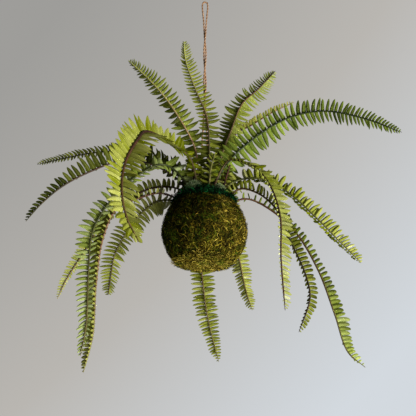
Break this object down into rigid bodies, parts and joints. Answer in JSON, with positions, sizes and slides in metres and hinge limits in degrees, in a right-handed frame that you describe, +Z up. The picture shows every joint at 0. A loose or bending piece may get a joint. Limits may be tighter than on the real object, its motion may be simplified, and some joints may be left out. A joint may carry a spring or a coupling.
{
  "type": "kokedama moss ball plant",
  "caption": "Hanging moss ball planter with a sword fern growing out of its crown, a green moss collar, a flat moss base and a twine hanging loop.",
  "frame": {"origin": "inside top of the twine loop, where a hook bears", "axes": "+Z up, +X towards the long level frond on the right, -Y the front of the plant"},
  "size_m": [0.6134, 0.3669, 0.7313],
  "materials": {
    "core_soil": "dry crumbly growing core",
    "ball_moss": "dried golden olive moss, tangled fibres",
    "base_moss": "pale golden moss, pressed flat",
    "collar_moss": "dark emerald dyed moss",
    "crown_moss": "grey green lichen moss, fuzzy",
    "fern_leaf": "satin leaf, yellow green to dark green, brown red midrib",
    "twine": "dry twisted two ply twine"
  },
  "bodies": {
    "root": {"soil_core": "core_soil", "moss_wrap": "ball_moss", "base_moss_patch": "base_moss", "crown_moss_collar": "collar_moss", "crown_moss_pad": "crown_moss", "moss_tuft_left": "crown_moss", "moss_tuft_right": "crown_moss", "hanging_twine": "twine", "twine_knot": "twine", "frond_upright_front": "fern_leaf", "frond_upright_left": "fern_leaf", "frond_upright_right": "fern_leaf", "frond_back_right_slender": "fern_leaf", "frond_right_long_arch": "fern_leaf", "frond_right_drooping": "fern_leaf", "frond_right_trailing_long": "fern_leaf", "frond_right_trailing_inner": "fern_leaf", "frond_front_right_arch": "fern_leaf", "frond_back_right_hanging": "fern_leaf", "frond_back_centre_hanging": "fern_leaf", "frond_left_trailing_outer": "fern_leaf", "frond_left_trailing_inner": "fern_leaf", "frond_left_drooping_pale": "fern_leaf", "frond_back_left_hanging": "fern_leaf", "frond_front_left_large": "fern_leaf", "frond_left_level": "fern_leaf", "frond_left_arching": "fern_leaf", "frond_young_front_left": "fern_leaf", "frond_young_front_right": "fern_leaf", "frond_young_right": "fern_leaf"}
  },
  "joints": []
}
